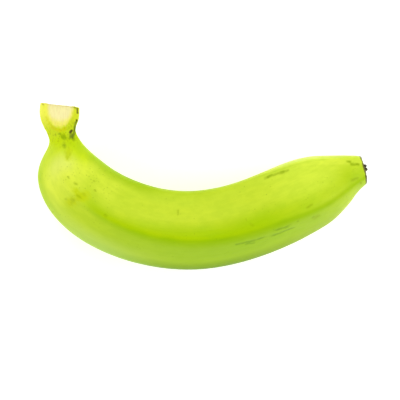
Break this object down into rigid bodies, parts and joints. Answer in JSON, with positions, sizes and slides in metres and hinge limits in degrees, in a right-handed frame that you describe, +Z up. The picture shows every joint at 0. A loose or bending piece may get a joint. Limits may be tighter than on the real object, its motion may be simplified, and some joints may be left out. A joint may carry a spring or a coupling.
{
  "type": "plantain",
  "caption": "Green cooking banana lying on its side: curved, blunt-ridged fruit with a narrow neck, a flared cut stalk stub and a dried flower scar at the tip.",
  "frame": {"origin": "middle of the bounding box in plan, on the surface that the fruit lies on", "axes": "+X from the stalk end to the tip, along the chord; +Y towards the hollow side of the curve; +Z up from the surface that it lies on"},
  "size_m": [0.1978, 0.1004, 0.0458],
  "materials": {
    "peel": "waxy satin, lime green, duller green on the bulging side",
    "cut_flesh": "matt, pale cream, fibrous",
    "dried_flower": "matt, dry, near black"
  },
  "bodies": {
    "root": {"plantain": "peel"}
  },
  "joints": []
}
